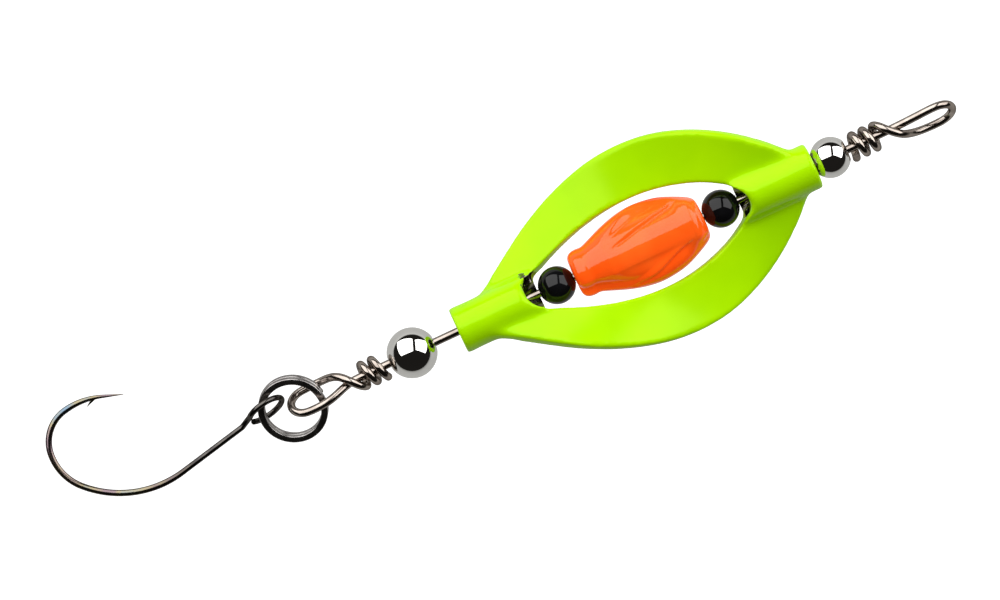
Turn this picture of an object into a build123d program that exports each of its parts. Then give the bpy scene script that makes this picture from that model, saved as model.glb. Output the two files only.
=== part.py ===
from build123d import *
import os
from math import cos, radians, sin

# An inline spinner for fishing: a wire shaft carries a twisted leaf blade that turns round
# three beads, between two drilled balls, with a split ring and a single hook behind.
#
# Millimetres. +X runs along the shaft towards the line eye, +Z is up, and the origin is at the
# bottom centre of the whole lure's box as it lies flat. Most places are given on the shaft:
# x from the middle of the two balls, y and z from the shaft's axis.

# ---- where the shaft lies
MID_X = 9.42            # the middle of the two balls
SHAFT_HEIGHT = 3.3      # the attractor bead is the widest piece, so the lure lies on it

# ---- shaft wire, with a twisted eye at each end
WIRE_D = 0.65
REAR_EYE_RADIUS = 1.25  # centre lines of the round ends of the eyes
FRONT_EYE_RADIUS = 1.3
COIL_RADIUS = 0.87      # centre line of the turns that close an eye
COIL_PITCH = 0.91
COIL_STEP = 45          # degrees from one corner of the wire's path to the next

# ---- drilled balls and beads
BORE_R = 0.42           # 0.095 mm of running clearance round the wire
REAR_BALL_X, REAR_BALL_D, REAR_BALL_LENGTH = -18.03, 4.0, 3.85
FRONT_BALL_X, FRONT_BALL_D, FRONT_BALL_LENGTH = 18.02, 3.24, 2.78
BEAD_D, BEAD_LENGTH = 3.0, 2.88
REAR_BEAD_X, FRONT_BEAD_X = -5.55, 8.56

# ---- attractor bead
ATTRACTOR_REAR, ATTRACTOR_FRONT = -4.05, 7.05
ATTRACTOR_WIDEST_X = 2.3
ATTRACTOR_R = SHAFT_HEIGHT
ATTRACTOR_NECK_X, ATTRACTOR_NECK_R = -2.6, 1.85
ATTRACTOR_NOSE_R = 1.7

# ---- spinner blade
BLADE_REAR, BLADE_FRONT = -14.05, 16.6
HUB_R = 1.88
HUB_ROUNDING = 0.35
HUB_MOUTH = 0.4
PLATE = 1.2
LEAF_REAR, LEAF_FRONT = -13.2, 15.8
LEAF_WIDEST_X, LEAF_HALF_WIDTH = 3.0, 8.0
LEAF_REAR_ARC, LEAF_REAR_SLOPE = 15.0, 31.0
LEAF_FRONT_ARC, LEAF_FRONT_SLOPE = 14.6, 44.0
TWIST_PER_MM, FLAT_AT_X = 2.2, 2.5
TWIST_STATIONS = 9
OPENING_REAR, OPENING_FRONT = -8.0, 10.55
OPENING_WIDEST_X, OPENING_HALF_WIDTH = 2.3, 3.66

# ---- split ring: two flat turns
RING_CENTRE = (-28.3, -0.02, -0.58)
RING_NORMAL = Vector(-0.22, -0.35, 0.91)
RING_R, RING_WIDTH, RING_THICKNESS = 2.45, 0.45, 0.95
RING_SEAM, RING_SEAM_DEPTH = 0.08, 0.12

# ---- hook
HOOK_D = 0.47
HOOK_EYE_CENTRE = (-30.3, 0.82, -0.72)
HOOK_EYE_RADIUS = 1.5
HOOK_DIRECTION = Vector(-0.97, -0.204, -0.065)    # from the eye down the shank
HOOK_EYE_ROLL = 71.0    # the eye is turned this far about the shank, out of the hook's plane
SHANK_LENGTH = 8.24
BEND_ARCS = ((8.3, 58), (4.1, 49), (3.0, 73))    # radius and turn of each arc of the bend
POINT_ARC, POINT_TURN, POINT_LENGTH = 6.0, 31, 1.75
POINT_RADII = (0.235, 0.21, 0.15, 0.09, 0.03)      # the wire's radius, tapering to the point
BARB = ((11.0, 8.95), (11.12, 8.6), (10.1, 8.6))
BARB_THICKNESS = 0.2


def at(x, y=0.0, z=0.0):
    """A place given on the shaft, in the lure's frame."""
    return Vector(MID_X + x, y, SHAFT_HEIGHT + z)


def cross(x, roll=0.0):
    """The plane across the shaft at x, turned about it by roll degrees."""
    x_dir = (0, cos(radians(roll)), sin(radians(roll)))
    return Plane(origin=at(x), x_dir=x_dir, z_dir=(1, 0, 0))


def corner_radii(points):
    """The largest bend that fits at each corner of a wire's path."""
    radii = []
    for before, corner, after in zip(points, points[1:], points[2:]):
        run_in, run_out = corner - before, after - corner
        half_turn = radians(run_in.get_angle(run_out)) / 2
        shorter = min(run_in.length, run_out.length)
        radii.append(0.46 * shorter * cos(half_turn) / sin(half_turn))
    return radii


def coil(top_x, slant, first, last):
    """Corners of the turns that close an eye. Angle 0 is at +Y and 90 at +Z."""
    step = COIL_STEP if last > first else -COIL_STEP
    reach = COIL_RADIUS / cos(radians(COIL_STEP / 2))
    corners = []
    for angle in range(first, last + step, step):
        a = radians(angle)
        x = top_x + slant + COIL_PITCH * angle / 360 - slant * cos(a)
        corners.append(at(x, reach * cos(a), reach * sin(a)))
    return corners


def eye_end(centre, radius, side, forward):
    """Corners of an eye's round end. Angle 0 is its tip, and 90 is towards side."""
    reach = radius / cos(radians(COIL_STEP / 2))
    corners = []
    for angle in range(-90, 90 + COIL_STEP, COIL_STEP):
        a = radians(angle)
        corners.append(centre + Vector(forward, 0, 0) * (reach * cos(a)) + side * (reach * sin(a)))
    return corners


# ---- shaft wire: rear tag, turns, rear eye, straight shaft, front eye, turns, front tag
rear_near_side = Vector(0, -0.68, 0.733)
front_far_side = Vector(0, -0.47, -0.882)
rear_turns = coil(top_x=-23.0, slant=0.12, first=900, last=180)
rear_crossing = [
    at(-22.75, -0.66, 0.62), at(-23.3, 0.0, 0.92), at(-23.9, 0.72, 0.6),
    at(-24.7, 1.02, -0.1), at(-25.6, 0.98, -0.75),
]
rear_eye = eye_end(at(-27.1, 0.1), REAR_EYE_RADIUS, rear_near_side, -1)
rear_return = [at(-25.4, -0.72, 0.85), at(-24.2, -0.28, 0.4), at(-23.2)]
front_run = [at(23.4), at(24.8, 0.04, 0.55), at(25.9, 0.09, 1.02)]
front_eye = eye_end(at(26.98, -0.5), FRONT_EYE_RADIUS, front_far_side, 1)
front_crossing = [
    at(25.4, -1.1, -1.03), at(24.5, -0.95, -0.35), at(23.8, -0.74, 0.48),
    at(22.95, 0.0, 0.92), at(22.45, 0.64, 0.64),
]
front_turns = coil(top_x=22.05, slant=0.05, first=0, last=-900)
wire_path = (
    rear_turns + rear_crossing + rear_eye + rear_return
    + front_run + front_eye + front_crossing + front_turns
)
with BuildPart() as shaft_wire:
    with BuildLine() as wire_line:
        FilletPolyline(*wire_path, radius=corner_radii(wire_path))
    with BuildSketch(Plane(origin=wire_line.line @ 0, z_dir=wire_line.line % 0)):
        Circle(WIRE_D / 2)
    sweep()
shaft_wire.part.label = "shaft_wire"


def drilled_ball(name, x, diameter, length):
    """A ball with a bore along the shaft and a small flat at each end of it."""
    with BuildPart() as ball:
        with Locations(at(x)):
            Sphere(diameter / 2)
            Box(length, diameter, diameter, mode=Mode.INTERSECT)
            Cylinder(BORE_R, diameter, rotation=(0, 90, 0), mode=Mode.SUBTRACT)
    ball.part.label = name
    return ball.part


rear_ball = drilled_ball("rear_ball", REAR_BALL_X, REAR_BALL_D, REAR_BALL_LENGTH)
front_ball = drilled_ball("front_ball", FRONT_BALL_X, FRONT_BALL_D, FRONT_BALL_LENGTH)
rear_bead = drilled_ball("rear_bead", REAR_BEAD_X, BEAD_D, BEAD_LENGTH)
front_bead = drilled_ball("front_bead", FRONT_BEAD_X, BEAD_D, BEAD_LENGTH)

# ---- attractor bead
with BuildPart() as attractor_bead:
    with BuildSketch(Plane(origin=at(0), x_dir=(1, 0, 0), z_dir=(0, -1, 0))):
        with BuildLine():
            neck = (ATTRACTOR_NECK_X, ATTRACTOR_NECK_R)
            nose = (ATTRACTOR_FRONT - 0.1, ATTRACTOR_NOSE_R)
            ThreePointArc(neck, (ATTRACTOR_WIDEST_X, ATTRACTOR_R), nose)
            Polyline(nose, (ATTRACTOR_FRONT, ATTRACTOR_NOSE_R - 0.15), (ATTRACTOR_FRONT, BORE_R),
                     (ATTRACTOR_REAR, BORE_R), (ATTRACTOR_REAR, 1.3))
            ThreePointArc((ATTRACTOR_REAR, 1.3), (-3.6, 1.95), neck)
        make_face()
    revolve(axis=Axis(at(0), (1, 0, 0)))
attractor_bead.part.label = "attractor_bead"

# ---- spinner blade: a plate twisted along the shaft, trimmed to a leaf and opened in the middle
with BuildPart() as spinner_blade:
    for i in range(TWIST_STATIONS):
        x = LEAF_REAR + (LEAF_FRONT - LEAF_REAR) * i / (TWIST_STATIONS - 1)
        with BuildSketch(cross(x, TWIST_PER_MM * (x - FLAT_AT_X))):
            Rectangle(2.4 * LEAF_HALF_WIDTH, PLATE)
    loft()
    with BuildSketch(Plane(at(0))):
        with BuildLine():
            rear_arc = CenterArc((LEAF_WIDEST_X, LEAF_HALF_WIDTH - LEAF_REAR_ARC),
                                 LEAF_REAR_ARC, 90, LEAF_REAR_SLOPE)
            rear_end = rear_arc @ 1
            PolarLine(rear_end, rear_end.Y / sin(radians(LEAF_REAR_SLOPE)), 180 + LEAF_REAR_SLOPE)
            front_arc = CenterArc((LEAF_WIDEST_X, LEAF_HALF_WIDTH - LEAF_FRONT_ARC),
                                  LEAF_FRONT_ARC, 90, -LEAF_FRONT_SLOPE)
            front_end = front_arc @ 1
            PolarLine(front_end, front_end.Y / sin(radians(LEAF_FRONT_SLOPE)), -LEAF_FRONT_SLOPE)
            mirror(about=Plane.XZ)
        make_face()
    extrude(amount=LEAF_HALF_WIDTH, both=True, mode=Mode.INTERSECT)
    with BuildSketch(Plane(at(0))):
        with BuildLine():
            EllipticalCenterArc((OPENING_WIDEST_X, 0), OPENING_FRONT - OPENING_WIDEST_X,
                                OPENING_HALF_WIDTH, 0, arc_size=90)
            EllipticalCenterArc((OPENING_WIDEST_X, 0), OPENING_WIDEST_X - OPENING_REAR,
                                OPENING_HALF_WIDTH, 90, arc_size=90)
            mirror(about=Plane.XZ)
        make_face()
    extrude(amount=LEAF_HALF_WIDTH, both=True, mode=Mode.SUBTRACT)
    for start, end in ((BLADE_REAR, OPENING_REAR), (OPENING_FRONT, BLADE_FRONT)):
        with BuildSketch(cross(start)):
            Circle(HUB_R)
        extrude(amount=end - start)
    ends = spinner_blade.edges().filter_by(GeomType.CIRCLE).group_by(Axis.X)
    fillet(ends[0] + ends[-1], HUB_ROUNDING)
    with BuildSketch(cross(BLADE_REAR)):
        Circle(BORE_R)
    extrude(amount=BLADE_FRONT - BLADE_REAR, mode=Mode.SUBTRACT)
    mouths = spinner_blade.edges().filter_by(GeomType.CIRCLE).filter_by(
        lambda edge: abs(edge.radius - BORE_R) < 0.01)
    chamfer(mouths, HUB_MOUTH)
spinner_blade.part.label = "spinner_blade"

# ---- split ring
ring_plane = Plane(origin=at(*RING_CENTRE), z_dir=RING_NORMAL)
ring_outer, ring_inner = RING_R + RING_WIDTH / 2, RING_R - RING_WIDTH / 2
with BuildPart() as split_ring:
    with BuildSketch(ring_plane):
        Circle(ring_outer)
        Circle(ring_inner, mode=Mode.SUBTRACT)
    extrude(amount=RING_THICKNESS / 2, both=True)
    for outer, inner in ((ring_outer, ring_outer - RING_SEAM_DEPTH),
                         (ring_inner + RING_SEAM_DEPTH, ring_inner)):
        with BuildSketch(ring_plane):
            Circle(outer)
            Circle(inner, mode=Mode.SUBTRACT)
        extrude(amount=RING_SEAM / 2, both=True, mode=Mode.SUBTRACT)
split_ring.part.label = "split_ring"

# ---- hook: an eye, a shank and a bend of tangent arcs, then a tapered point with a small barb
shank = HOOK_DIRECTION.normalized()
hook_side = Vector(0, 0, -1).cross(shank).normalized()    # in the hook's plane, towards its point
hook_normal = shank.cross(hook_side)
hook_plane = Plane(origin=at(*HOOK_EYE_CENTRE), x_dir=shank, z_dir=hook_normal)
eye_side = hook_side * cos(radians(HOOK_EYE_ROLL)) - hook_normal * sin(radians(HOOK_EYE_ROLL))
with BuildPart() as hook:
    with BuildLine(hook_plane) as bend_line:
        end = Line((HOOK_EYE_RADIUS, 0), (SHANK_LENGTH, 0))
        for radius, turn in BEND_ARCS:
            end = JernArc(end @ 1, end % 1, radius, turn)
    with BuildSketch(Plane(origin=bend_line.line @ 0, z_dir=bend_line.line % 0)):
        Circle(HOOK_D / 2)
    sweep()
    eye_plane = Plane(origin=hook_plane.origin, x_dir=shank, z_dir=shank.cross(eye_side))
    with Locations(eye_plane.location):
        Torus(HOOK_EYE_RADIUS, HOOK_D / 2)
    with BuildLine(hook_plane) as point_line:
        curve = JernArc(end @ 1, end % 1, POINT_ARC, POINT_TURN)
        Line(curve @ 1, (curve @ 1) + (curve % 1) * POINT_LENGTH)
    for i, radius in enumerate(POINT_RADII):
        along = i / (len(POINT_RADII) - 1)
        with BuildSketch(Plane(origin=point_line.line @ along, z_dir=point_line.line % along)):
            Circle(radius)
    loft()
    with BuildSketch(hook_plane):
        with BuildLine():
            Polyline(*BARB, close=True)
        make_face()
    extrude(amount=BARB_THICKNESS / 2, both=True)
hook.part.label = "hook"

os.makedirs("parts", exist_ok=True)
pieces = [
    shaft_wire.part, rear_ball, front_ball, rear_bead, front_bead,
    attractor_bead.part, spinner_blade.part, split_ring.part, hook.part,
]
for piece in pieces:
    export_step(piece, f"parts/{piece.label}.step")
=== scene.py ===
"""An inline spinner: blade, fluted bead, glass beads, balls, twisted wire, split ring and hook."""
from math import asin, atan2, cos, degrees, pi, radians, sin

import bpy
from mathutils import Matrix, Vector


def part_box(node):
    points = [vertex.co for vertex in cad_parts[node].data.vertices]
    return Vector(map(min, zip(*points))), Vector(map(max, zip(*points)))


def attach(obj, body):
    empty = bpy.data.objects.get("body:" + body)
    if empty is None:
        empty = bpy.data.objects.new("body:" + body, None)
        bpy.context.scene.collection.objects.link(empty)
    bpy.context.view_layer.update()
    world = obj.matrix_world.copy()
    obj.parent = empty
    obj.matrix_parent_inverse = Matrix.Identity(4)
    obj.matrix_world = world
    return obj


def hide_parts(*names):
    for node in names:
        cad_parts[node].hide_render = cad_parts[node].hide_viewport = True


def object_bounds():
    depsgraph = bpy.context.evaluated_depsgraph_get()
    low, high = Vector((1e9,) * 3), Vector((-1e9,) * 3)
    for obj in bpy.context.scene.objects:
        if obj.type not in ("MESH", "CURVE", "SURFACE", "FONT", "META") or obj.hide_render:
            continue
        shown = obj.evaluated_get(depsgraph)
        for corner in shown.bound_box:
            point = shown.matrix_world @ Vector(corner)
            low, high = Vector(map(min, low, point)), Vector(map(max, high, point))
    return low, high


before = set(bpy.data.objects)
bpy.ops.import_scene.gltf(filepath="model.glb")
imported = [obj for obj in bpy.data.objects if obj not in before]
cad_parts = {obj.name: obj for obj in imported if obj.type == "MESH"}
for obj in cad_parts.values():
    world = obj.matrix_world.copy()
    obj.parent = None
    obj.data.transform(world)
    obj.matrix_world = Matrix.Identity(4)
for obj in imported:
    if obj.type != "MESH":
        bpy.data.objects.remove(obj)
cad_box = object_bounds()

# The pieces are shaped on a bench in millimetres: x runs along the shaft from the middle of the two
# balls, y and z are measured from the shaft's axis. place() brings a finished piece into the frame.
MM = 0.001


def middle(node):
    low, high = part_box(node)
    return (low + high) / 2


BENCH = (middle("rear_ball") + middle("front_ball")) / 2


def ends(node):
    """Where a node of the frame starts and stops along the shaft."""
    low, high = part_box(node)
    return (low.x - BENCH.x) / MM, (high.x - BENCH.x) / MM


def thickness(node):
    """How deep a node of the frame is, along z."""
    low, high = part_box(node)
    return (high.z - low.z) / MM


# ---- sizes and places on the bench that the pieces and the finishes share
BORE_R = 0.42
BLADE_REAR, BLADE_FRONT = ends("spinner_blade")
# where the blade's paint is chipped off, with the bare metal painted dark as the shade inside the bore's
# hollow mouths: the middle, and how far the bare metal reaches
CHIPS_AND_MOUTH_SHADE = (((BLADE_REAR + 0.3, 0, 0), 1.75), ((-7.5, 0.4, -0.2), 2.4), ((10.4, 0, -0.3), 2.2),
                ((BLADE_FRONT - 0.3, 0, 0), 1.75))
FRONT_CUT = (19.87, -0.87, 0.0)     # the middle of the wire's front cut end
HOOK_BEND = (-44.5, 3.5, -1.5)      # the middle of the hook's bend


# ---- working on the bench
def clear_selection():
    bpy.ops.object.select_all(action="DESELECT")


def take(piece):
    """Selects one piece alone."""
    clear_selection()
    piece.select_set(True)
    bpy.context.view_layer.objects.active = piece


def apply_modifier(piece, kind, **settings):
    take(piece)
    modifier = piece.modifiers.new(kind.lower(), kind)
    for name, value in settings.items():
        setattr(modifier, name, value)
    bpy.ops.object.modifier_apply(modifier=modifier.name)


def joined(first, *others):
    take(first)
    for other in others:
        other.select_set(True)
    bpy.ops.object.join()
    return first


def cleaned(piece):
    """A mesh with its doubled points merged and its faces turned outwards."""
    take(piece)
    bpy.ops.object.mode_set(mode="EDIT")
    bpy.ops.mesh.select_all(action="SELECT")
    bpy.ops.mesh.remove_doubles(threshold=0.0005)
    bpy.ops.mesh.normals_make_consistent(inside=False)
    bpy.ops.object.mode_set(mode="OBJECT")
    return piece


def place(piece, name, body, node, made_of, edge_angle):
    """Brings a finished piece from the bench into the frame, where it stands for a node."""
    take(piece)
    piece.name = name
    piece.data.name = name
    piece.matrix_world = Matrix.Translation(BENCH) @ Matrix.Scale(MM, 4) @ piece.matrix_world
    bpy.ops.object.transform_apply(location=True, rotation=True, scale=True)
    bpy.ops.object.shade_smooth_by_angle(angle=radians(edge_angle))
    piece.data.materials.clear()
    piece.data.materials.append(made_of)
    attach(piece, body)
    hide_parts(node)


def curve_piece(knots, cyclic=False, kind="POLY", order=4, resolution=8):
    """A curve of one spline. Each knot is a point and a radius."""
    curve = bpy.data.curves.new("line", "CURVE")
    curve.dimensions = "3D"
    curve.resolution_u = resolution
    spline = curve.splines.new(kind)
    spline.points.add(len(knots) - 1)
    for knot, (point, radius) in zip(spline.points, knots):
        knot.co = (*point, 1)
        knot.radius = radius
    spline.use_cyclic_u = cyclic
    if kind == "NURBS":
        spline.order_u = order
        spline.use_endpoint_u = not cyclic
    piece = bpy.data.objects.new("line", curve)
    bpy.context.scene.collection.objects.link(piece)
    return piece


def flat_line(points, **settings):
    """A curve through (x, y) points."""
    return curve_piece([((x, y, 0), 1) for x, y in points], **settings)


def converted(curve):
    """The mesh that a curve makes."""
    take(curve)
    bpy.ops.object.convert(target="MESH")
    return bpy.context.object


def tube(knots, diameter, rim, **settings):
    """A wire of round section along its knots, closed at both ends."""
    line = curve_piece(knots, **settings)
    line.data.bevel_depth = diameter / 2
    line.data.bevel_resolution = rim
    line.data.use_fill_caps = True
    return cleaned(converted(line))


def lathe(profile, steps=128):
    """A closed profile of (x, r) turned once round the shaft."""
    piece = converted(flat_line(profile, cyclic=True))
    apply_modifier(piece, "SCREW", axis="X", steps=steps, render_steps=steps,
                   use_merge_vertices=True, use_smooth_shade=True)
    return cleaned(piece)


def arc(centre, radius, start, stop, steps):
    """Points on an arc, in degrees, both ends included."""
    angles = [radians(start + (stop - start) * i / steps) for i in range(steps + 1)]
    return [(centre[0] + radius * cos(a), centre[1] + radius * sin(a)) for a in angles]


def axes(x, y, z):
    """The turn that brings a piece's own axes to three directions."""
    return Matrix((x, y, z)).transposed().to_4x4()


def soft_step(value, start, stop):
    """0 before start, 1 after stop, and smooth between them."""
    t = min(max((value - start) / (stop - start), 0), 1)
    return t * t * (3 - 2 * t)


def soft_fall(value, start, stop):
    """1 before start, 0 after stop, and smooth between them."""
    return 1 - soft_step(value, start, stop)


# ---- nodes of the finishes
def add_node(tree, kind, inputs=(), **settings):
    """A node with its settings, and with each input linked to a socket or set to a value."""
    node = tree.nodes.new(kind)
    for name, value in settings.items():
        setattr(node, name, value)
    for name, value in dict(inputs).items():
        if isinstance(value, bpy.types.NodeSocket):
            tree.links.new(value, node.inputs[name])
        else:
            node.inputs[name].default_value = value
    return node


def grain_group():
    """Fine unevenness of a surface: a height, and a mask that varies slowly."""
    group = bpy.data.node_groups.new("surface_grain", "ShaderNodeTree")
    for name in ("Fine scale", "Broad scale", "Fine share"):
        group.interface.new_socket(name, in_out="INPUT", socket_type="NodeSocketFloat")
    for name in ("Height", "Mask"):
        group.interface.new_socket(name, in_out="OUTPUT", socket_type="NodeSocketFloat")
    given = add_node(group, "NodeGroupInput")
    result = add_node(group, "NodeGroupOutput")
    place_on = add_node(group, "ShaderNodeTexCoord").outputs["Object"]
    fine = add_node(group, "ShaderNodeTexNoise",
                    {"Vector": place_on, "Scale": given.outputs["Fine scale"], "Detail": 3.0})
    broad = add_node(group, "ShaderNodeTexNoise",
                     {"Vector": place_on, "Scale": given.outputs["Broad scale"], "Detail": 2.0})
    mixed = add_node(group, "ShaderNodeMix", {
        "Factor": given.outputs["Fine share"], "A": broad.outputs["Fac"], "B": fine.outputs["Fac"]})
    group.links.new(mixed.outputs["Result"], result.inputs["Height"])
    group.links.new(broad.outputs["Fac"], result.inputs["Mask"])
    return group


GRAIN = grain_group()


def grain(tree, fine, broad, share):
    node = add_node(tree, "ShaderNodeGroup", node_tree=GRAIN)
    for name, value in (("Fine scale", fine), ("Broad scale", broad), ("Fine share", share)):
        node.inputs[name].default_value = value
    return node


def ramp(tree, value, stops):
    """A colour that a value picks from (position, colour) stops."""
    node = add_node(tree, "ShaderNodeValToRGB", {"Fac": value})
    elements = node.color_ramp.elements
    while len(elements) < len(stops):
        elements.new(0.5)
    for element, (position, colour) in zip(elements, stops):
        element.position = position
        element.color = (*colour, 1)
    return node.outputs["Color"]


def ranged(tree, value, given, wanted):
    """A value brought from one (start, stop) range to another."""
    node = add_node(tree, "ShaderNodeMapRange", {
        "Value": value, "From Min": given[0], "From Max": given[1],
        "To Min": wanted[0], "To Max": wanted[1]})
    return node.outputs["Result"]


def maths(tree, operation, first, second):
    node = add_node(tree, "ShaderNodeMath", {0: first, 1: second}, operation=operation)
    return node.outputs["Value"]


def blend(tree, share, first, second):
    """A colour that goes from the first to the second as the share goes from 0 to 1."""
    node = add_node(tree, "ShaderNodeMix", {"Factor": share, "A": first, "B": second}, data_type="RGBA")
    return node.outputs["Result"]


def near(tree, centre, inner, outer, most=1.0):
    """The most within inner of a place on the bench, and 0 beyond outer, in millimetres."""
    place_on = add_node(tree, "ShaderNodeTexCoord").outputs["Object"]
    away = add_node(tree, "ShaderNodeVectorMath", {0: place_on, 1: BENCH + Vector(centre) * MM},
                    operation="DISTANCE")
    return ranged(tree, away.outputs["Value"], (inner * MM, outer * MM), (most, 0.0))


def material(name, **settings):
    made = bpy.data.materials.new(name)
    made.use_nodes = True
    shader = made.node_tree.nodes["Principled BSDF"]
    for socket, value in settings.items():
        shader.inputs[socket.replace("_", " ")].default_value = value
    return made


def works(made):
    """A material's tree and its one shader."""
    return made.node_tree, made.node_tree.nodes["Principled BSDF"]


def feeding(shader, socket):
    """What a socket of a shader is linked to."""
    return shader.inputs[socket].links[0].from_socket


def grained(name, fine, broad, share, stops, rough, bump, depth, **settings):
    """A material that the grain varies: its colour over the stops, its roughness over a range,
    and its height by bumps of a strength and a depth."""
    made = material(name, **settings)
    tree, shader = works(made)
    uneven = grain(tree, fine, broad, share)
    height = uneven.outputs["Height"]
    tree.links.new(ramp(tree, uneven.outputs["Mask"], stops), shader.inputs["Base Color"])
    tree.links.new(ranged(tree, height, (0.0, 1.0), rough), shader.inputs["Roughness"])
    bumps = add_node(tree, "ShaderNodeBump", {"Height": height, "Strength": bump, "Distance": depth})
    tree.links.new(bumps.outputs["Normal"], shader.inputs["Normal"])
    return made


# ---- finishes
def lime_enamel():
    """Glossy paint, with bare metal in ragged chips in and round the mouths of the bore. The bare metal is
    painted dark, which stands in for the shade inside the hollow mouths.
    """
    made = grained("lime_enamel", fine=2600.0, broad=180.0, share=0.25,
                   stops=((0.3, (0.37, 0.79, 0.0)), (0.7, (0.44, 0.88, 0.0))),
                   rough=(0.13, 0.2), bump=0.12, depth=0.00008,
                   # Emission Strength makes the paint glow faintly by itself: a painted glow that
                   # brightens it
                   Specular_Tint=(0.75, 1.0, 0.16, 1), Emission_Strength=0.08)
    tree, shader = works(made)
    paint = feeding(shader, "Base Color")
    patches = 0.0
    for centre, reach in CHIPS_AND_MOUTH_SHADE:
        patches = maths(tree, "MAXIMUM", patches, near(tree, centre, 0.4 * reach, reach))
    ragged = grain(tree, fine=3000.0, broad=1300.0, share=0.35)
    chipped = maths(tree, "MULTIPLY", patches, ragged.outputs["Height"])
    bare_and_shade = ranged(tree, chipped, (0.3, 0.34), (0.0, 1.0))
    tree.links.new(bare_and_shade, shader.inputs["Metallic"])
    # the dark colour of the bare metal is painted shade of the hollow mouths, laid over real chips
    tree.links.new(blend(tree, bare_and_shade, paint, (0.22, 0.2, 0.16, 1)), shader.inputs["Base Color"])
    # the painted glow has the paint's colour, and none where the metal is bare
    tree.links.new(blend(tree, bare_and_shade, paint, (0, 0, 0, 1)), shader.inputs["Emission Color"])
    # the paint mirrors less where it turns away
    turned = add_node(tree, "ShaderNodeLayerWeight", {"Blend": 0.5})
    sheen = ranged(tree, turned.outputs["Facing"], (0.5, 0.8), (0.6, 0.05))
    tree.links.new(sheen, shader.inputs["Specular IOR Level"])
    return made


def orange_plastic():
    made = grained("orange_plastic", fine=2200.0, broad=300.0, share=0.2,
                   stops=((0.3, (1.0, 0.085, 0.004)), (0.7, (1.0, 0.12, 0.01))),
                   rough=(0.06, 0.12), bump=0.15, depth=0.00008,
                   # Emission Strength makes the plastic glow by itself: a painted glow that brightens it
                   Coat_Weight=0.15, Coat_Roughness=0.05, Emission_Strength=0.32,
                   Specular_Tint=(1.0, 0.75, 0.6, 1), Specular_IOR_Level=0.6)
    tree, shader = works(made)
    # the painted glow takes the plastic's own colour
    tree.links.new(feeding(shader, "Base Color"), shader.inputs["Emission Color"])
    return made


def black_glass():
    return grained("black_glass", fine=1500.0, broad=500.0, share=0.15,
                   stops=((0.3, (0.002, 0.002, 0.002)), (0.7, (0.006, 0.006, 0.007))),
                   rough=(0.02, 0.06), bump=0.2, depth=0.0001, IOR=1.38)


def metal(name, dark, light, rough, fine, broad, bump, edge=1.0, anisotropy=0.0):
    """Bare metal. Edge is how much of the light it mirrors where it turns away."""
    return grained(name, fine, broad, share=0.5, stops=((0.35, dark), (0.65, light)), rough=rough,
                   bump=bump, depth=0.00002,
                   Metallic=1.0, Anisotropic=anisotropy, Specular_Tint=(edge, edge, edge, 1))


def nickel_wire():
    """Wire whose front cut end is rough, where the rest is drawn smooth."""
    # edge 0.3 dims what the wire mirrors where it turns away: painted shade along its outlines
    made = metal("nickel_wire", (0.33, 0.28, 0.245), (0.5, 0.44, 0.39), rough=(0.08, 0.2),
                 fine=5000.0, broad=900.0, bump=0.25, edge=0.3)
    tree, shader = works(made)
    cut_end = near(tree, FRONT_CUT, 0.34, 0.44, most=0.7)
    tree.links.new(maths(tree, "MAXIMUM", feeding(shader, "Roughness"), cut_end),
                   shader.inputs["Roughness"])
    return made


def black_nickel():
    """Dark plating, with bluish and straw tints where the hook is bent."""
    made = metal("black_nickel", (0.055, 0.05, 0.05), (0.12, 0.11, 0.1), rough=(0.1, 0.24),
                 fine=6000.0, broad=700.0, bump=0.25, edge=0.4)
    tree, shader = works(made)
    patches = grain(tree, fine=900.0, broad=330.0, share=0.3)
    tints = ramp(tree, patches.outputs["Height"],
                 ((0.38, (0.16, 0.25, 0.34)), (0.5, (0.34, 0.29, 0.17)), (0.62, (0.24, 0.17, 0.19))))
    bent = near(tree, HOOK_BEND, 5.0, 8.5, most=0.75)
    tree.links.new(blend(tree, bent, feeding(shader, "Base Color"), tints), shader.inputs["Base Color"])
    return made


# ---- drilled balls and beads
RIM_STEPS, BALL_STEPS = 4, 72


def drilled_ball(name, body, node, made_of, rim=0.07):
    """A ball with a bore, a small flat round each mouth and a rounded rim."""
    rear, front = ends(node)
    centre, half = (rear + front) / 2, (front - rear) / 2
    radius = thickness(node) / 2
    flat_angle = degrees(asin((radius ** 2 - half ** 2) ** 0.5 / radius))
    mouth = arc((-half + rim, BORE_R + rim), rim, 180, 270, RIM_STEPS)
    outside = arc((0, 0), radius, 180 - flat_angle, flat_angle, BALL_STEPS)
    far_mouth = arc((half - rim, BORE_R + rim), rim, -90, 0, RIM_STEPS)
    profile = [(centre + x, r) for x, r in mouth[::-1] + outside + far_mouth[::-1]]
    place(lathe(profile), name, body, node, made_of, edge_angle=50)


# ---- fluted bead
BEAD_PROFILE = ((-4.05, 0.42), (-4.05, 1.2), (-3.93, 1.66), (-3.6, 1.9), (-3.1, 1.96), (-2.7, 1.9),
                (-2.3, 2.02), (-1.0, 2.55), (0.0, 2.88), (1.0, 3.13), (2.3, 3.27), (4.0, 3.06),
                (5.0, 2.72), (6.0, 2.25), (6.6, 1.93), (6.95, 1.62), (7.05, 1.2), (7.05, 0.42))
BEAD_REAR_FACE, BEAD_FRONT_FACE = -4.0, 6.9     # past these the profile turns in to the bore
BEAD_WALL_R = 1.3                               # the profile's points outside this are its wall
PROFILE_REACH = 0.09                            # at least one of them is this close to any x
FLUTE_INNER_R = 1.5                             # outside this the flutes have their full depth
BEAD_STEPS = 300
BAR_R = 2.5                                     # how far out the flat face of each bar lies
FRONT_FLUTE_DEPTH, FRONT_WALL = 0.3, 4.0
REAR_FLUTE_DEPTH, REAR_WALL = 0.42, 13.0


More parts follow.
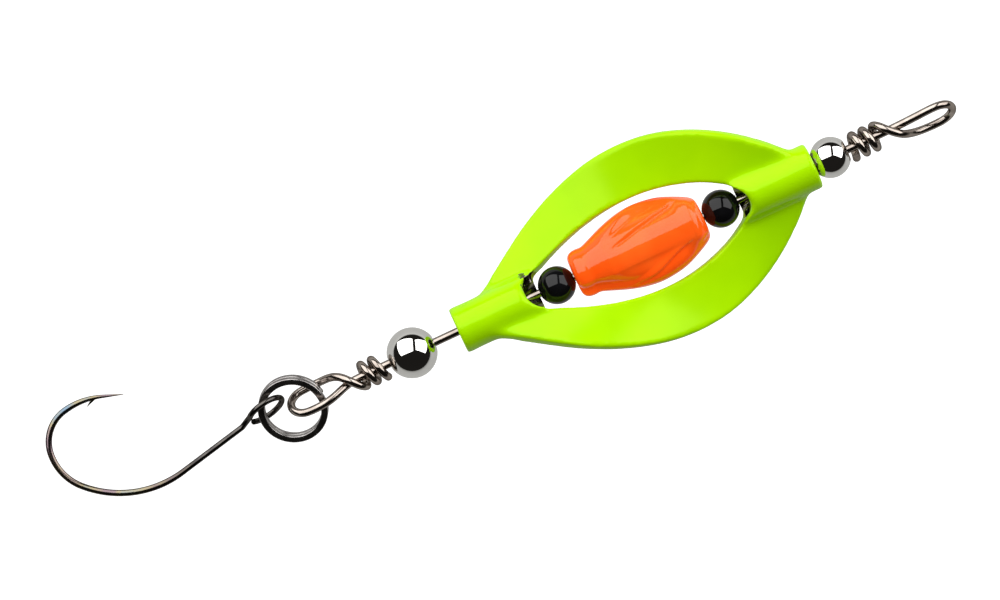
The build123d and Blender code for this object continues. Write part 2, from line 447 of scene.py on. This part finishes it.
def tongue_edge(x):
    """The angle of the front flute's steep wall. Angle 0 faces up and 90 faces +y."""
    return 20 + 6.7 * x


def bar_share(x, angle):
    """1 on the bar and 0 on the wings that rise beside it."""
    rise = 41 + 9 * min(x, 2.4) - 32 * soft_step(x, 4.2, 6.0)
    return soft_fall(angle, rise, rise + 14 + 5 * max(0.0, x)) * soft_step(angle, -60, -28)


def bar_radius(x, outer):
    """How far out the bar lies: no further than the bead's wall, and less near the front."""
    return min(outer, BAR_R) if x < 3 else BAR_R - 0.7 * soft_step(x, 6.1, 7.2)


def wedge(across, width, wall):
    """The share of a flute's depth: it deepens evenly over its width, then a steep wall ends it."""
    if across <= 0 or width <= 0:
        return 0.0
    if across <= width:
        return across / width
    return max(0.0, 1 - (across - width) / wall)


def flute_depth(x, angle):
    """How deep the flutes are cut at a place of the bead."""
    front_start = min(27.0, tongue_edge(x) - 6)
    front = max(wedge(angle + turn - front_start, tongue_edge(x) - front_start, FRONT_WALL)
                for turn in (0, 90))
    rear = wedge(-angle - 27, 33 * min(1.0, (4.6 - x) / 4.6), REAR_WALL)
    return max(front * soft_step(x, -0.9, 1.2) * soft_fall(x, 4.7, 5.8) * FRONT_FLUTE_DEPTH,
               rear * soft_fall(x, 0.5, 4.6) * REAR_FLUTE_DEPTH)


def fluted_bead(made_of):
    """An oval bead with two straight bars, and V flutes beside them that open to its two ends."""
    outline = converted(flat_line(BEAD_PROFILE, kind="NURBS", order=3))
    profile = [(vertex.co.x, vertex.co.y) for vertex in outline.data.vertices]
    bpy.data.objects.remove(outline)
    bead = lathe(profile, BEAD_STEPS)
    for vertex in bead.data.vertices:
        x, y, z = vertex.co
        radius = (y * y + z * z) ** 0.5
        outer = radius
        if x > BEAD_REAR_FACE:
            outer = min(r for at, r in profile
                        if abs(at - min(x, BEAD_FRONT_FACE)) < PROFILE_REACH and r > BEAD_WALL_R)
        # both halves of the bead are alike
        angle = (degrees(atan2(y, z)) + 90) % 180 - 90
        surface = 1 + (bar_radius(x, outer) / outer - 1) * bar_share(x, angle)
        shaped = soft_step(radius, BORE_R, FLUTE_INNER_R)
        scale = 1 + (surface - 1 - flute_depth(x, angle) / outer) * shaped
        vertex.co = (x, y * scale, z * scale)
    apply_modifier(bead, "SMOOTH", factor=0.5, iterations=3)
    place(bead, "orange_fluted_bead", "fluted_bead", "attractor_bead", made_of, edge_angle=60)


# ---- blade
LEAF_OUTLINE = ((-13.6, 0.55), (-11.9, 1.75), (-10.0, 2.85), (-7.0, 4.95), (-4.0, 6.5), (0.0, 7.75),
                (3.0, 8.02), (6.0, 7.82), (9.0, 6.85), (11.5, 5.5), (13.5, 3.9), (15.2, 2.2),
                (16.1, 1.2))
OPENING_OUTLINE = ((-8.1, 0.0), (-8.15, 0.8), (-7.3, 1.55), (-6.2, 1.85), (-4.0, 2.8), (-1.0, 3.55),
                   (2.0, 3.82), (5.0, 3.62), (8.0, 2.75), (9.9, 1.6), (10.85, 0.7), (10.85, 0.0))
PLATE = 1.2
OPENING_DEPTH = 6.0
TWIST_PER_MM, FLAT_AT_X = 2.2, 2.5
HUB_R = 1.88
HUB_REAR_INNER, HUB_FRONT_INNER = -6.2, 9.0
BLADE_BORE_R, HUB_MOUTH_R = 0.5, 0.87
# the half shells left in the opening's ends: where each starts and stops, and its radius
LOWER_LIPS = ((-8.8, -7.1, 1.6), (10.1, 11.4, 1.45))
# the flares of the bore: where each starts and stops, and its radius there
FLARES = ((BLADE_REAR - 0.1, BLADE_REAR + 0.7, HUB_MOUTH_R, BORE_R), (-9.3, -6.9, BORE_R, 1.2),
          (9.9, 11.8, 1.1, BORE_R), (BLADE_FRONT - 0.7, BLADE_FRONT + 0.1, BORE_R, HUB_MOUTH_R))
LIP_TOP, LIP_CUTTER = 0.1, 8.0
ROD_SIDES = 96
BLADE_VOXEL = 0.13
BLADE_SMOOTHING, POOL_SMOOTHING = 14, 70


def both_sides(points):
    """A closed outline from the points of its upper half."""
    lower = [(x, -y) for x, y in points[::-1] if y > 0]
    return list(points) + lower


def even_mesh(piece):
    apply_modifier(piece, "REMESH", mode="VOXEL", voxel_size=BLADE_VOXEL)


def twisted_slab(outline, height):
    """A flat slab of an outline, cut into an even mesh and twisted along the shaft."""
    slab = flat_line([(x - FLAT_AT_X, y) for x, y in both_sides(outline)], cyclic=True, kind="NURBS")
    slab.data.dimensions = "2D"
    slab.data.fill_mode = "BOTH"
    slab.data.extrude = height / 2
    slab = cleaned(converted(slab))
    even_mesh(slab)
    apply_modifier(slab, "SIMPLE_DEFORM", deform_method="TWIST", deform_axis="X",
                   angle=radians(TWIST_PER_MM) * slab.dimensions.x)
    slab.location.x = FLAT_AT_X
    take(slab)
    bpy.ops.object.transform_apply(location=True)
    return slab


def rod(rear, front, radius, front_radius=None):
    """A round rod on the shaft's axis, or a cone where the front radius differs."""
    clear_selection()
    bpy.ops.mesh.primitive_cone_add(
        vertices=ROD_SIDES, radius1=radius, radius2=radius if front_radius is None else front_radius,
        depth=front - rear, location=((rear + front) / 2, 0, 0), rotation=(0, pi / 2, 0))
    bpy.ops.object.transform_apply(location=True, rotation=True)
    return bpy.context.object


def cut(piece, cutter):
    apply_modifier(piece, "BOOLEAN", operation="DIFFERENCE", object=cutter, solver="MANIFOLD")
    bpy.data.objects.remove(cutter)


def lower_lip(rear, front, radius):
    """The lower half of a rod, which is left standing inside the opening below the shaft."""
    lip = rod(rear, front, radius)
    bpy.ops.mesh.primitive_cube_add(
        size=LIP_CUTTER, location=((rear + front) / 2, 0, LIP_TOP + LIP_CUTTER / 2))
    cut(lip, bpy.context.object)
    return lip


def paint_pool(x, radius):
    """Where paint pools between the arms and the hubs: 1 there, and 0 far away."""
    rear = soft_step(x, BLADE_REAR + 0.4, BLADE_REAR + 1.4) * soft_fall(x, -8.0, -6.0)
    front = soft_step(x, 9.0, 10.5) * soft_fall(x, BLADE_FRONT - 1.4, BLADE_FRONT - 0.4)
    return max(rear, front) * soft_step(radius, 1.3, 1.8) * soft_fall(radius, 2.4, 3.2)


def weigh(piece, share):
    """A vertex group, named for its share: the weight at x and a distance from the axis."""
    group = piece.vertex_groups.new(name=share.__name__)
    for vertex in piece.data.vertices:
        x, y, z = vertex.co
        weight = share(x, (y * y + z * z) ** 0.5)
        if weight > 0.01:
            group.add([vertex.index], weight, "REPLACE")
    return group.name


def twisted_blade(made_of):
    blade = joined(twisted_slab(LEAF_OUTLINE, PLATE), rod(BLADE_REAR, HUB_REAR_INNER, HUB_R),
                   rod(HUB_FRONT_INNER, BLADE_FRONT, HUB_R))
    even_mesh(blade)
    cut(blade, twisted_slab(OPENING_OUTLINE, OPENING_DEPTH))
    joined(blade, *(lower_lip(*lip) for lip in LOWER_LIPS))
    even_mesh(blade)
    apply_modifier(blade, "SMOOTH", factor=0.5, iterations=POOL_SMOOTHING,
                   vertex_group=weigh(blade, paint_pool))
    apply_modifier(blade, "SMOOTH", factor=0.5, iterations=BLADE_SMOOTHING)
    cut(blade, rod(BLADE_REAR - 1, BLADE_FRONT + 1, BLADE_BORE_R))
    for flare in FLARES:
        cut(blade, rod(*flare))
    place(blade, "lime_blade", "blade", "spinner_blade", made_of, edge_angle=50)


# ---- shaft wire
WIRE_D = 0.65
EYE_STEP = 30
COIL_RADIUS = 0.87
COIL_PITCH = 0.91


def reach(radius):
    """How far out the control points of a round bend stand."""
    return radius * 6 / (4 + 2 * cos(radians(EYE_STEP)))


def coil(top_x, slant, first, last):
    """The turns that close an eye. Angle 0 is at +y and 90 at +z."""
    step = EYE_STEP if last > first else -EYE_STEP
    points = []
    for angle in range(first, last + step, step):
        a = radians(angle)
        x = top_x + slant + COIL_PITCH * angle / 360 - slant * cos(a)
        points.append(Vector((x, reach(COIL_RADIUS) * cos(a), reach(COIL_RADIUS) * sin(a))))
    return points


def eye_end(centre, radius, side, forward):
    """The round end of an eye. Angle 0 is its tip, and 90 is towards side."""
    points = []
    for angle in range(-90, 90 + EYE_STEP, EYE_STEP):
        a = radians(angle)
        points.append(Vector(centre) + Vector((forward, 0, 0)) * (reach(radius) * cos(a))
                      + Vector(side) * (reach(radius) * sin(a)))
    return points


def twisted_wire(made_of):
    """One wire: the rear turns and eye, the shaft through the balls and beads, the front eye and turns."""
    rear_turns = coil(top_x=-23.0, slant=0.12, first=900, last=180)
    rear_crossing = [(-22.75, -0.66, 0.62), (-23.3, 0.0, 0.92), (-23.9, 0.72, 0.6),
                     (-24.7, 1.02, -0.1), (-25.6, 0.98, -0.75)]
    rear_eye = eye_end((-27.1, 0.1, 0), 1.25, (0, -0.68, 0.733), -1)
    rear_return = [(-25.4, -0.72, 0.85), (-24.2, -0.28, 0.4), (-23.2, 0, 0), (-22.0, 0, 0)]
    front_run = [(22.2, 0, 0), (23.4, 0, 0), (24.8, 0.04, 0.55), (25.9, 0.09, 1.02)]
    front_eye = eye_end((26.98, -0.5, 0), 1.3, (0, -0.47, -0.882), 1)
    front_crossing = [(25.4, -1.1, -1.03), (24.5, -0.95, -0.35), (23.8, -0.74, 0.48),
                      (22.95, 0.0, 0.92), (22.45, 0.64, 0.64)]
    front_turns = coil(top_x=22.05, slant=0.05, first=0, last=-900)
    path = (rear_turns + rear_crossing + rear_eye + rear_return
            + front_run + front_eye + front_crossing + front_turns)
    wire = tube([(point, 1) for point in path], WIRE_D, rim=10, kind="NURBS", resolution=6)
    place(wire, "nickel_shaft_wire", "shaft", "shaft_wire", made_of, edge_angle=50)


# ---- split ring
RING_CENTRE = Vector((-28.3, -0.02, -0.58))
RING_NORMAL = Vector((-0.22, -0.35, 0.91)).normalized()
RING_R, RING_WIDTH, RING_THICKNESS = 2.49, 0.55, 0.95
RING_CORNER_R, RING_SEAM = 0.11, 0.02
RING_ENDS_AT = 8.0                  # the angle where the wire starts
RING_STEPS, RING_GAP = 120, 5       # the steps of one turn, and those that the second turn lacks
CLIMB_BEFORE, CLIMB_AFTER = 7, 4    # the wire climbs from this many steps before the gap to after it


def ring_axes():
    across = Vector((1, 0, 0))
    across = (across - RING_NORMAL * across.dot(RING_NORMAL)).normalized()
    return axes(across, RING_NORMAL.cross(across), RING_NORMAL)


def rounded_section(width, height, radius):
    points = []
    for sx, sy, start in ((1, 1, 0), (-1, 1, 90), (-1, -1, 180), (1, -1, 270)):
        centre = (sx * (width / 2 - radius), sy * (height / 2 - radius))
        points += arc(centre, radius, start, start + 90, RIM_STEPS)
    return points


def coiled_ring(made_of):
    """Two flat turns of one wire, which climbs from the lower turn to the upper one by its ends."""
    layer = RING_THICKNESS / 4
    first_end = RING_STEPS - RING_GAP
    knots = []
    for i in range(2 * RING_STEPS - RING_GAP + 1):
        a = radians(RING_ENDS_AT + 360 * i / RING_STEPS)
        climb = soft_step(i, first_end - CLIMB_BEFORE, first_end + CLIMB_AFTER)
        knots.append(((RING_R * cos(a), RING_R * sin(a), layer * (2 * climb - 1)), 1))
    path = curve_piece(knots)
    section = flat_line(rounded_section(RING_WIDTH, 2 * layer - RING_SEAM, RING_CORNER_R), cyclic=True)
    section.data.dimensions = "2D"
    path.data.bevel_mode = "OBJECT"
    path.data.bevel_object = section
    path.data.use_fill_caps = True
    path.data.twist_mode = "Z_UP"
    ring = cleaned(converted(path))
    bpy.data.objects.remove(section)
    ring.matrix_world = Matrix.Translation(RING_CENTRE) @ ring_axes()
    place(ring, "steel_split_ring", "ring", "split_ring", made_of, edge_angle=40)


# ---- hook: its x runs down the shank from the middle of its eye, and it bends towards its y
HOOK_D = 0.47
HOOK_EYE_CENTRE = Vector((-30.3, 0.82, -0.72))
HOOK_EYE_RADIUS = 1.5
HOOK_DIRECTION = Vector((-0.97, -0.204, -0.065)).normalized()
HOOK_EYE_ROLL = 71.0
HOOK_EYE_ANGLES = range(-22, -332, -6)      # from the cut end round to the shank
SHANK_START, SHANK_END = 2.3, 8.16
BEND_ARCS = ((8.3, 58), (4.1, 49), (3.0, 73), (6.0, 31))    # the radius and the turn of each
POINT_LENGTH = 1.75
STATION = 0.12
FORGED_FROM, FORGED_TO, FORGED_SWELL = 5.0, 8.0, 0.1    # down the wire, and how much wider it is
FLAT_FROM, FLAT_TO, FLATTENED = 7.5, 10.5, 0.25         # down the shank, and how much thinner it is
TAPER, TAPER_POWER, TIP_SHARE = 0.9, 1.6, 0.06
BARB_BASE, BARB_TIP = Vector((10.2, 8.82, 0.0)), Vector((11.15, 8.58, 0.0))


def hook_axes():
    side = Vector((0, 0, -1)).cross(HOOK_DIRECTION).normalized()
    return axes(HOOK_DIRECTION, side, HOOK_DIRECTION.cross(side))


def eye_of_hook():
    """The open eye, from its cut end round to where it meets the shank."""
    roll = radians(HOOK_EYE_ROLL)
    points = []
    for angle in HOOK_EYE_ANGLES:
        a = radians(angle)
        away = HOOK_EYE_RADIUS * sin(a)
        points.append((HOOK_EYE_RADIUS * cos(a), away * cos(roll), -away * sin(roll)))
    return points


def barb():
    """A sliver raised from the inner side of the point, in the hook's plane."""
    clear_selection()
    bpy.ops.mesh.primitive_cone_add(vertices=12, radius1=0.17, radius2=0.012, depth=1.0)
    sliver = bpy.context.object
    bpy.ops.object.mode_set(mode="EDIT")
    bpy.ops.mesh.select_all(action="SELECT")
    bpy.ops.transform.resize(value=(0.75, 1, 1))
    bpy.ops.object.mode_set(mode="OBJECT")
    sliver.matrix_world = (Matrix.Translation((BARB_BASE + BARB_TIP) / 2)
                           @ (BARB_TIP - BARB_BASE).to_track_quat("Z", "X").to_matrix().to_4x4())
    bpy.ops.object.transform_apply(location=True, rotation=True)
    return sliver


def single_hook(made_of):
    """A wide-gap hook: an open eye, a straight shank, a bend of four arcs and a tapered point."""
    knots = [(point, 1) for point in eye_of_hook()]
    bends = [(radians(turn) * radius, turn) for radius, turn in BEND_ARCS]
    runs = [(SHANK_END - SHANK_START, 0), *bends, (POINT_LENGTH, 0)]
    total = sum(length for length, turn in runs)
    taper_from = total - bends[-1][0] - POINT_LENGTH
    at, heading, gone = Vector((SHANK_START, 0)), 0.0, 0.0
    for length, turn in runs:
        steps = round(length / STATION)
        for i in range(steps):
            bent = radians(turn) / steps
            forged = 1 + FORGED_SWELL * soft_step(gone, FORGED_FROM, FORGED_TO)
            tapered = max(0.0, (gone - taper_from) / (total - taper_from)) ** TAPER_POWER
            knots.append(((at.x, at.y, 0), forged * (1 - TAPER * tapered)))
            at += Vector((cos(heading + bent / 2), sin(heading + bent / 2))) * (length / steps)
            heading += bent
            gone += length / steps
    knots.append(((at.x, at.y, 0), TIP_SHARE))
    hook = tube(knots, HOOK_D, rim=8)
    for vertex in hook.data.vertices:
        vertex.co.z *= 1 - FLATTENED * soft_step(vertex.co.x, FLAT_FROM, FLAT_TO)
    sliver = barb()
    apply_modifier(hook, "BOOLEAN", operation="UNION", object=sliver, solver="MANIFOLD")
    bpy.data.objects.remove(sliver)
    hook.matrix_world = Matrix.Translation(HOOK_EYE_CENTRE) @ hook_axes()
    place(hook, "black_nickel_hook", "single_hook", "hook", made_of, edge_angle=60)


# ---- floor, light and camera
FLOOR_DROP = 30.0            # the hook has room to swing below the lure
LIGHT_DISTANCE = 0.5
VIEW_ROLL = 25.04            # degrees that the shaft climbs to the right in the view
VIEW_CENTRE = Vector((-10.06, 0.83, 0))
VIEW_WIDTH = 78.1            # how much of the bench the view takes in
CAMERA_HEIGHT = 0.5
SENSOR = 36.0


def camera_ray(tree):
    """1 for what the camera sees straight, and 0 for what lights or mirrors in the lure."""
    return add_node(tree, "ShaderNodeLightPath").outputs["Is Camera Ray"]


def pale_floor():
    """White to the camera. It lights and mirrors in the lure as a pale grey table."""
    clear_selection()
    bpy.ops.mesh.primitive_plane_add(size=4, location=(0, 0, cad_box[0][2] - FLOOR_DROP * MM))
    floor = bpy.context.object
    floor.name = "floor"
    made = material("pale_floor", Roughness=0.9, Specular_IOR_Level=0.0, Emission_Strength=1.0)
    tree, shader = works(made)
    uneven = grain(tree, fine=900.0, broad=20.0, share=0.5)
    grey = ramp(tree, uneven.outputs["Mask"], ((0.3, (0.3, 0.3, 0.3)), (0.7, (0.32, 0.32, 0.32))))
    tree.links.new(grey, shader.inputs["Base Color"])
    tree.links.new(blend(tree, camera_ray(tree), (0.2, 0.2, 0.19, 1), (1, 1, 1, 1)),
                   shader.inputs["Emission Color"])
    floor.data.materials.append(made)


def soft_light(name, direction, edge, size, radiance):
    """A square soft box that faces the lure from a direction. Edge is the way its sides run."""
    light = bpy.data.lights.new(name, "AREA")
    light.size = size
    light.energy = radiance * pi * size * size
    lamp = bpy.data.objects.new(name, light)
    bpy.context.scene.collection.objects.link(lamp)
    away = Vector(direction).normalized()
    across = (Vector(edge) - away * away.dot(Vector(edge))).normalized()
    lamp.matrix_world = (Matrix.Translation(BENCH + away * LIGHT_DISTANCE)
                         @ axes(across, away.cross(across), away))


def dark_room():
    """Dark to everything but the camera, which sees a pale backdrop past the floor."""
    world = bpy.data.worlds.new("room")
    bpy.context.scene.world = world
    world.use_nodes = True
    tree = world.node_tree
    tree.links.new(blend(tree, camera_ray(tree), (0.012, 0.011, 0.01, 1), (0.95, 0.95, 0.95, 1)),
                   tree.nodes["Background"].inputs["Color"])


def camera():
    data = bpy.data.cameras.new("camera")
    data.sensor_width = SENSOR
    data.lens = SENSOR * CAMERA_HEIGHT / (VIEW_WIDTH * MM)
    data.clip_start = 0.01
    view = bpy.data.objects.new("camera", data)
    bpy.context.scene.collection.objects.link(view)
    view.location = BENCH + VIEW_CENTRE * MM + Vector((0, 0, CAMERA_HEIGHT))
    view.rotation_euler = (0, 0, -radians(VIEW_ROLL))
    bpy.context.scene.camera = view


# ---- build
chrome = metal("chrome", (0.84, 0.83, 0.8), (0.9, 0.89, 0.86), rough=(0.02, 0.07),
               fine=3000.0, broad=500.0, bump=0.1)
steel = metal("satin_steel", (0.25, 0.23, 0.225), (0.42, 0.4, 0.39), rough=(0.14, 0.28),
              fine=7000.0, broad=1200.0, bump=0.35, anisotropy=0.4)
glass = black_glass()

twisted_blade(lime_enamel())
fluted_bead(orange_plastic())
drilled_ball("chrome_rear_ball", "rear_bearing", "rear_ball", chrome)
drilled_ball("chrome_front_ball", "front_bearing", "front_ball", chrome)
drilled_ball("black_rear_bead", "rear_glass_bead", "rear_bead", glass, rim=0.12)
drilled_ball("black_front_bead", "front_glass_bead", "front_bead", glass, rim=0.12)
twisted_wire(nickel_wire())
coiled_ring(steel)
single_hook(black_nickel())

pale_floor()
soft_light("left_soft_box", (-0.28, 0.66, 0.70), edge=(0.89, 0.04, 0.45), size=0.68, radiance=2.4)
soft_light("right_soft_box", (0.80, 0.19, 0.57), edge=(0.476, -0.612, -0.631), size=0.5, radiance=2.6)
dark_room()
camera()
bpy.context.scene.view_settings.view_transform = "Standard"
